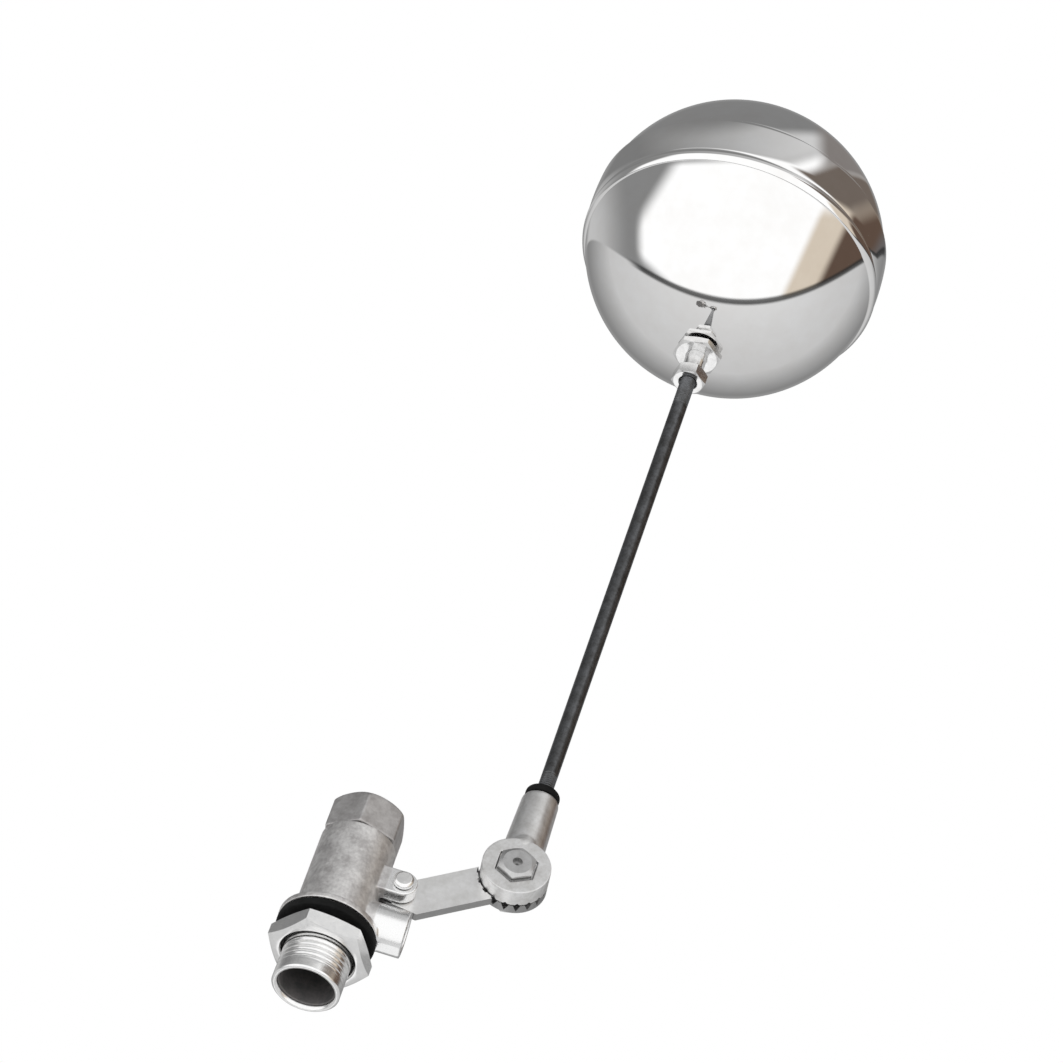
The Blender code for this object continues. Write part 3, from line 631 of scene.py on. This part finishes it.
def lever_outline():
    pivot, knuckle = Vector((PIVOT.x, PIVOT.z)), Vector((KNUCKLE.x, KNUCKLE.z))
    tip = pivot + TONGUE_LENGTH * Vector((math.sin(TONGUE_LEAN), math.cos(TONGUE_LEAN)))
    down = Vector((math.sin(ARM_SLOPE), -math.cos(ARM_SLOPE)))
    out = Vector((-down.y, down.x))
    lower, upper = knuckle - ARM_HALF_WIDTH * out, knuckle + ARM_HALF_WIDTH * out
    heel_z = lower.y + (HEEL_X - lower.x) * down.y / down.x
    tongue = (tip - pivot).normalized()
    right = Vector((tongue.y, -tongue.x))
    side = pivot + TONGUE_HALF_WIDTH * right
    corner = side + (upper - side).cross(down) / tongue.cross(down) * tongue
    start = math.atan2(right.y, right.x)
    foot = pivot - TONGUE_HALF_WIDTH * right + 1.6 * tongue
    points = [(HEEL_X, heel_z), tuple(lower), tuple(upper), tuple(corner)]
    return points + arc(tip, TONGUE_HALF_WIDTH, start, start + math.pi, 16) + [
        tuple(foot), HEEL_TOP]


def make_lever():
    centre = (KNUCKLE.x, 0, KNUCKLE.z)
    front = DISC_SPLIT_Y + GAP / 2
    lever = thing("lever_plate", side_plate(lever_outline(), -LEVER_HALF, LEVER_HALF))
    cut(lever, plug(DISC_RADIUS + 0.4, -4, front + 0.4, ALONG_Y, centre, 128))
    add(lever, plug(DISC_RADIUS, front, DISC_BACK_Y, ALONG_Y, centre, 128))
    cut(lever, serrations(front, LEVER_NOTCH_WIDTH, LEVER_NOTCH_DEPTH))
    cut(lever, plug(BOLT_RADIUS + GAP, -5, 5, ALONG_Y, centre))
    cut(lever, plug(PIN_RADIUS + GAP, -5, 5, ALONG_Y, (PIVOT.x, 0, PIVOT.z)))
    bevel(lever, 0.22, 2, 40)
    join_frame(lever, "lever", "pressed_plate", PLATE, "lever_arm")


# Rod holder and knuckle bolt --------------------------------------------------------------------


def make_holder():
    low, high = span("rod_holder")
    centre, axis = (KNUCKLE.x, 0, KNUCKLE.z), ROD_AXIS
    front, back, end = low.y, DISC_SPLIT_Y - GAP / 2, high.x
    socket = [(42, 0), (42, SOCKET_RADIUS), (SOCKET_FREE_X, SOCKET_RADIUS)]
    edge_centre = (end - SOCKET_END_ROUND, SOCKET_END_RADIUS - SOCKET_END_ROUND)
    socket += arc(edge_centre, SOCKET_END_ROUND, math.pi / 2, 0, 8) + [(end, 0)]
    holder = thing("rod_socket", turned(socket, centre=axis, sides=96))
    cut(holder, block((41, SOCKET_FREE_X), (back, 8), (-60, -30)))
    add(holder, plug(DISC_RADIUS, front, back, ALONG_Y, centre, 128))
    add(holder, ball(5.0, (SOCKET_FREE_X - 1.2, -3.4, KNUCKLE.z), (1.0, 0.72, 0.86)))
    cut(holder, block((41, SOCKET_FREE_X), (back, 8), (-60, -30)))
    cut(holder, prism(hexagon(POCKET_FLATS), front - 1, POCKET_FLOOR_Y, ALONG_Y, centre))
    cut(holder, plug(BOLT_RADIUS + GAP, -8, 2, ALONG_Y, centre))
    cut(holder, plug(ROD_RADIUS + GAP, SOCKET_FLOOR_X, end + 1, centre=axis))
    cast(holder, 0.2, 4)
    cut(holder, serrations(back, SERRATION_WIDTH, SERRATION_DEPTH))
    holder.data.shade_smooth()
    holder.data.set_sharp_from_angle(angle=math.radians(38))
    join_frame(holder, "float_arm", "cast_body", HOLDER, "rod_holder")


def make_bolt():
    low, high = span("knuckle_bolt")
    centre = (KNUCKLE.x, 0, KNUCKLE.z)
    front, under = low.y, POCKET_FLOOR_Y - GAP
    bolt = thing("hexagon_bolt", prism(hexagon(BOLT_FLATS), front, under, ALONG_Y, centre))
    cone = [(front, 0), (front, BOLT_FLATS / 2 - 0.9), (front + 0.9, 6.5), (under + 1, 6.5),
            (under + 1, 0)]
    boolean(bolt, "INTERSECT", turned(cone, ALONG_Y, centre))
    dimple = [(front - 1, 0), (front - 1, 1.7), (front + 1.6, 1.2), (front + 1.6, 0)]
    cut(bolt, turned(dimple, ALONG_Y, centre, 64))
    bolt.data.set_sharp_from_angle(angle=math.radians(20))
    join_frame(bolt, "float_arm", "bright_turned", BOLT, "knuckle_bolt")
    shank = [(under - 0.5, 0), (under - 0.5, BOLT_RADIUS)]
    shank += run(under, high.y - 0.4, BOLT_RADIUS, 0.1)
    shank += [(high.y, BOLT_RADIUS - 0.4), (high.y, 0)]
    wave = thread(4.0, high.y - 0.1, 1.0, 0.5, BOLT_RADIUS - 0.1, 0.4)
    shank = thing("bolt_shank", turned(shank, ALONG_Y, centre, 64, wave))
    join_frame(shank, "float_arm", "bright_turned", BRIGHT)


def make_stack():
    centre, hole = (KNUCKLE.x, 0, KNUCKLE.z), BOLT_RADIUS + GAP
    for name, node, radius in (
            ("flat_washer", "knuckle_flat_washer", FLAT_WASHER_RADIUS),
            ("spring_washer", "knuckle_spring_washer", SPRING_WASHER_RADIUS)):
        low, high = span(node)
        profile = [(low.y, hole), (low.y, radius), (high.y, radius), (high.y, hole)]
        ring = thing(name, turned(rounded(profile, 0.25), ALONG_Y, centre, 96))
        if name == "spring_washer":
            gap = (KNUCKLE.x - 0.5, KNUCKLE.x + 0.5)
            cut(ring, block(gap, (low.y - 1, high.y + 1), (KNUCKLE.z, KNUCKLE.z + 8)))
            ring.data.set_sharp_from_angle(angle=math.radians(40))
        join_frame(ring, "float_arm", "bright_turned", BRIGHT, node)
    low, high = span("knuckle_nut")
    nut = hex_nut("small_hexagon_nut", SMALL_FLATS, math.radians(12), low.y, high.y, hole,
                  ALONG_Y, centre)
    join_frame(nut, "float_arm", "bright_turned", BRIGHT, "knuckle_nut")


def hex_nut(name, flats, turn, low, high, hole, axes, centre):
    """A hexagon with both faces chamfered at the corners and a countersunk hole."""
    nut = thing(name, prism(hexagon(flats, turn), low, high, axes, centre))
    corner, face, rise = flats / math.sqrt(3) + 0.1, flats / 2 - 0.2, 0.55
    cone = [(low, 0), (low, face), (low + rise, corner), (high - rise, corner), (high, face),
            (high, 0)]
    boolean(nut, "INTERSECT", turned(cone, axes, centre, 96))
    bore = [(low - 1, 0), (low - 1, hole + 1.4), (low + 0.4, hole), (high - 0.4, hole),
            (high + 1, hole + 1.4), (high + 1, 0)]
    cut(nut, turned(bore, axes, centre, 64))
    nut.data.set_sharp_from_angle(angle=math.radians(20))
    return nut


def make_holder_ring():
    # painted shade: this black collar stands in for the shade at the socket's end
    low, high = span("holder_ring")
    rim, hole = high.y, ROD_RADIUS + GAP
    profile = [(low.x, hole), (low.x, rim), (high.x, rim), (high.x, hole)]
    ring = thing("socket_collar", turned(rounded(profile, 0.8), centre=ROD_AXIS, sides=96))
    join_frame(ring, "float_arm", "black_rubber", BLACK_RUBBER_AND_SHADE, "holder_ring")


# Rod and float ----------------------------------------------------------------------------------


def make_rod():
    low, high = span("float_rod")
    profile = [(low.x, 0), (low.x, ROD_RADIUS - 0.5)]
    profile += run(low.x + 0.5, 84, ROD_RADIUS, 0.1) + run(244, high.x - 0.5, ROD_RADIUS, 0.1)
    profile += [(high.x, ROD_RADIUS - 0.5), (high.x, 0)]
    ends = (thread(low.x, 82, 0.8, 0.4, ROD_RADIUS - 0.1),
            thread(246, high.x, 0.8, 0.4, ROD_RADIUS - 0.1))

    def wave(along, radius, angle):
        return sum(end(along, radius, angle) for end in ends)

    rod = thing("threaded_rod", turned(profile, centre=ROD_AXIS, sides=64, wave=wave))
    join_frame(rod, "float_arm", "dark_rod", ROD, "float_rod")


def make_float_fittings():
    low, high = span("float_lock_nut")
    hole = ROD_RADIUS + GAP
    nut = hex_nut("rod_lock_nut", SMALL_FLATS, SMALL_TURN, low.x, high.x, hole, ALONG_X,
                  ROD_AXIS)
    join_frame(nut, "float_arm", "bright_turned", FITTING, "float_lock_nut")
    low, high = span("float_boss")
    neck, base = BOSS_NECK_RADIUS, BOSS_BASE_RADIUS
    profile = [
        (low.x, hole), (low.x, neck), (BOSS_FRONT_X + 0.5, neck), (BOSS_FRONT_X + 0.5, neck + 1),
        (BOSS_BACK_X - 0.5, neck + 1), (BOSS_BACK_X - 0.5, base), (high.x, base), (high.x, hole),
    ]
    boss = thing("hexagon_boss", turned(rounded(profile, 0.25), centre=ROD_AXIS, sides=96))
    collar = hex_nut("boss_collar", BOSS_FLATS, SMALL_TURN, BOSS_FRONT_X, BOSS_BACK_X, neck - 0.2,
                     ALONG_X, ROD_AXIS)
    join_frame(boss, "float_arm", "bright_turned", FITTING, "float_boss")
    join_frame(collar, "float_arm", "bright_turned", FITTING)


def sphere_run(radius, from_x, to_x, steps):
    start, end = (math.acos(max(-1, min(1, x / radius))) for x in (from_x, to_x))
    angles = [start + (end - start) * k / steps for k in range(steps + 1)]
    return [(FLOAT_X + radius * math.cos(a), max(0, radius * math.sin(a))) for a in angles]


def ripple(along, radius, angle):
    """The slight unevenness of spun and polished sheet, a few hundredths of a millimetre."""
    turn = 2 * angle + 0.05 * along
    slow = math.sin(turn) + 0.6 * math.sin(3 * angle - 0.09 * along + 1.1)
    return 0.02 * slow * min(1, radius / 12)


def make_float():
    outer, inner = FLOAT_RADIUS, FLOAT_RADIUS - SHELL_WALL
    hole = FLOAT_HOLE_RADIUS
    from_x, to_x = -math.sqrt(outer**2 - hole**2), -BELT_HALF_WIDTH - 1.4
    profile = sphere_run(outer, from_x, to_x, 90)
    rise = BELT_MIDDLE_RADIUS - BELT_EDGE_RADIUS
    edge = FLOAT_X - BELT_HALF_WIDTH
    profile += [(edge + x, BELT_EDGE_RADIUS + r) for x, r in ROLLED_EDGE]
    for k in range(7, 24):
        share = -1 + k / 12
        profile.append((FLOAT_X + share * BELT_HALF_WIDTH, BELT_MIDDLE_RADIUS - rise * share**2))
    edge = FLOAT_X + BELT_HALF_WIDTH
    profile += [(edge - 0.5, BELT_EDGE_RADIUS - 0.08), (edge - 0.15, BELT_EDGE_RADIUS - 0.25),
                (edge, BELT_EDGE_RADIUS - 0.5)]
    profile += [(edge, BELT_INNER_RADIUS), (FLOAT_X - BELT_HALF_WIDTH + 1.2, BELT_INNER_RADIUS)]
    profile += sphere_run(inner, -BELT_HALF_WIDTH, -math.sqrt(inner**2 - hole**2), 24)
    shell = thing("float_bowl_lower", turned(profile, centre=ROD_AXIS, sides=288, wave=ripple))
    shell.data.set_sharp_from_angle(angle=math.radians(50))
    join_frame(shell, "float_arm", "polished_float", MIRROR, "float_lower_shell")

    rim = UPPER_LOW.x
    profile = [(rim, LAP_RADIUS - SHELL_WALL), (rim, LAP_RADIUS),
               (FLOAT_X + BELT_HALF_WIDTH - 1.0, LAP_RADIUS)]
    profile += sphere_run(outer, BELT_HALF_WIDTH + 0.7, outer, 90)
    profile += sphere_run(inner, inner, BELT_HALF_WIDTH - 0.5, 24)
    shell = thing("float_bowl_upper", turned(profile, centre=ROD_AXIS, sides=288, wave=ripple))
    shell.data.set_sharp_from_angle(angle=math.radians(50))
    join_frame(shell, "float_arm", "polished_float", MIRROR, "float_upper_shell")


def finish_inner_pieces():
    """The pieces inside the barrel keep their CAD meshes, with full materials and fine bevels."""
    # the seat nozzle takes the bore's painted shade
    for node, look in (("seat_nozzle", BORE), ("piston", BRIGHT), ("washer_retainer", BRIGHT),
                       ("piston_washer", SEAL)):
        kept = frame["nodes"][node]
        kept.data.materials.clear()
        kept.data.materials.append(look)
        step = kept.modifiers.new("bevel", "BEVEL")
        step.width, step.segments, step.limit_method = 0.12 * MM, 2, "ANGLE"


# Studio -----------------------------------------------------------------------------------------

VIEW_RIGHT = Vector((0.2559, -0.1460, -0.9556))
VIEW_UP = Vector((0.6978, -0.6563, 0.2871))
VIEW_BACK = Vector((-0.6690, -0.7403, -0.0661))
VIEW_POINT = Vector((-1.1162, -1.4299, -0.1438))
LENS, SENSOR = 207.8, 36                 # mm
SOFTBOX = 1.12                           # brightness in the painted studio
FLOOR_DROP = 245                         # mm, from the part down to the floor
FLOOR_RADIUS = 2000
LAMP_POINT, LAMP_AIM = Vector((-0.7, -1.1, 2.2)), Vector((0.15, 0, -0.05))
LAMP_SIZE, LAMP_POWER = 2.4, 60          # metres across, and watts


def make_camera():
    data = bpy.data.cameras.new("studio_camera")
    data.lens, data.sensor_width = LENS, SENSOR
    data.clip_start, data.clip_end = 0.05, 30
    camera = bpy.data.objects.new("studio_camera", data)
    bpy.context.scene.collection.objects.link(camera)
    placed = Matrix((VIEW_RIGHT, VIEW_UP, VIEW_BACK)).transposed().to_4x4()
    placed.translation = VIEW_POINT
    camera.matrix_world = placed
    bpy.context.scene.camera = camera


def make_world():
    """A pale room with a white backdrop; polished metal sees a softbox, walls and a bench."""
    world = bpy.data.worlds.new("studio")
    bpy.context.scene.world = world
    world.use_nodes = True
    world.cycles.sampling_method = "NONE"
    nodes = Nodes(world.node_tree)
    direction = nodes.add("ShaderNodeTexCoord").outputs["Generated"]

    def vector_math(operation, a, b):
        node = world.node_tree.nodes.new("ShaderNodeVectorMath")
        node.operation = operation
        nodes.feed(node.inputs[0], a)
        if b is not None:
            nodes.feed(node.inputs[1], b)
        return node

    half = vector_math("ADD", direction, VIEW_BACK).outputs["Vector"]
    half = vector_math("NORMALIZE", half, None).outputs["Vector"]
    across = vector_math("DOT_PRODUCT", half, VIEW_RIGHT).outputs["Value"]
    upward = vector_math("DOT_PRODUCT", half, VIEW_UP).outputs["Value"]
    toward = vector_math("DOT_PRODUCT", direction, VIEW_BACK).outputs["Value"]
    square = nodes.math("ADD", nodes.math("MULTIPLY", across, across),
                        nodes.math("MULTIPLY", upward, upward))
    rim = nodes.math("SQRT", square)

    def zone(value, low, high, start=0.0, end=1.0):
        return nodes.ramp(value, low, high, start, end, smooth=True)

    def both(a, b):
        return nodes.math("MULTIPLY", a, b)

    def lit(level):
        return nodes.add("ShaderNodeCombineColor", Red=level, Green=level,
                         Blue=level).outputs["Color"]

    # Left wall, a softbox with cut corners, and the ceiling above it
    scene = nodes.mix(zone(across, -0.95, -0.70), grey(0.56), grey(0.25))
    left_top = zone(nodes.math("SUBTRACT", both(across, 1.5), upward), -1.25, -1.05)
    left_foot = zone(nodes.math("ADD", across, upward), -0.76, -0.64)
    box = both(both(left_top, left_foot), both(zone(across, -0.68, -0.60),
                                               zone(upward, 0.54, 0.61, 1, 0)))
    scene = nodes.mix(box, scene, grey(SOFTBOX))
    glow = lit(nodes.ramp(across, -0.6, 0.45, 0.21, 0.66))
    scene = nodes.mix(zone(upward, 0.53, 0.61), scene, glow)
    scene = nodes.mix(zone(upward, 0.72, 0.80), scene, grey(0.23))

    # Room to the right: dark above, wooden furniture leaning away below
    scene = nodes.mix(both(zone(across, 0.50, 0.62), zone(upward, 0.46, 0.54)), scene,
                      (0.24, 0.22, 0.21, 1))
    corner = both(zone(nodes.math("ADD", across, upward), 0.84, 0.92),
                  zone(upward, 0.48, 0.54, 1, 0))
    scene = nodes.mix(corner, scene, (0.17, 0.14, 0.12, 1))
    low_enough = zone(upward, 0.18, 0.32, 1, 0)
    leaning = nodes.math("SUBTRACT", across, both(upward, 0.45))
    for start, end, tone in (
            (0.42, 0.49, (0.72, 0.63, 0.52, 1)), (0.62, 0.69, (0.12, 0.08, 0.06, 1)),
            (0.86, 0.94, (0.14, 0.13, 0.13, 1))):
        scene = nodes.mix(both(zone(leaning, start, end), low_enough), scene, tone)

    # The bench below, with a dark far edge
    off_centre = nodes.math("SUBTRACT", across, 0.05)
    curve = both(both(off_centre, off_centre), 0.5)
    above = nodes.math("SUBTRACT", nodes.math("SUBTRACT", upward, curve), -0.37)
    bench = both(nodes.ramp(rim, 0.35, 0.85, 0.78, 0.60), nodes.ramp(rim, 0.84, 1.0, 1.0, 0.32))
    scene = nodes.mix(zone(above, -0.012, 0.012, 1, 0), scene, lit(bench))
    line = both(zone(nodes.math("ABSOLUTE", above), 0.008, 0.030, 1, 0), zone(across, -0.74, -0.62))
    scene = nodes.mix(both(line, 0.88), scene, grey(0.03))
    card_x, card_y = nodes.math("ADD", across, 0.256), nodes.math("ADD", upward, 0.698)
    card = nodes.math("SQRT", nodes.math("ADD", both(card_x, card_x), both(card_y, card_y)))
    scene = nodes.mix(zone(card, 0.06, 0.13, 1, 0), scene, grey(1.1))
    scene = nodes.mix(zone(toward, -0.90, -0.98), scene, grey(0.30))

    # Behind the object it is white, and elsewhere pale grey, so that bright metal stays visible
    rays = nodes.add("ShaderNodeLightPath")
    backdrop = nodes.mix(zone(toward, -0.93, -0.985), grey(0.74), grey(1.0))
    seen = nodes.mix(rays.outputs["Is Camera Ray"], grey(1.0), backdrop)
    seen = nodes.mix(rays.outputs["Is Glossy Ray"], seen, scene)
    nodes.feed(world.node_tree.nodes["Background"].inputs["Color"], seen)


def make_stage():
    floor_z = CAD_LOW.z / MM - FLOOR_DROP    # below the float at its lowest pose
    sheet = bmesh.new()
    bmesh.ops.create_circle(sheet, cap_ends=True, segments=96, radius=FLOOR_RADIUS)
    bmesh.ops.translate(sheet, vec=(0, 0, floor_z), verts=sheet.verts)
    floor = thing("studio_floor", sheet)
    look = bpy.data.materials.new("pale_floor")
    look.use_nodes = True
    shader = look.node_tree.nodes["Principled BSDF"]
    shader.inputs["Base Color"].default_value = grey(0.56)
    shader.inputs["Roughness"].default_value = 1.0
    shader.inputs["Specular IOR Level"].default_value = 0.0
    floor.data.materials.append(look)
    floor.visible_glossy = False
    light = bpy.data.lights.new("soft_light", "AREA")
    light.shape, light.size, light.energy = "DISK", LAMP_SIZE, LAMP_POWER
    lamp = bpy.data.objects.new("soft_light", light)
    bpy.context.scene.collection.objects.link(lamp)
    lamp.location = LAMP_POINT
    aim = LAMP_AIM - LAMP_POINT
    lamp.rotation_mode = "QUATERNION"
    lamp.rotation_quaternion = aim.to_track_quat("-Z", "Y")
    lamp.visible_glossy = False
    lamp.visible_camera = False


def main():
    make_inlet()
    make_cast_body()
    make_gasket()
    make_lock_nut()
    make_end_cap()
    make_pivot()
    make_cotter()
    make_lever()
    make_holder()
    make_bolt()
    make_stack()
    make_holder_ring()
    make_rod()
    make_float_fittings()
    make_float()
    finish_inner_pieces()
    make_camera()
    make_world()
    make_stage()
    bpy.context.scene.view_settings.view_transform = "Standard"


main()
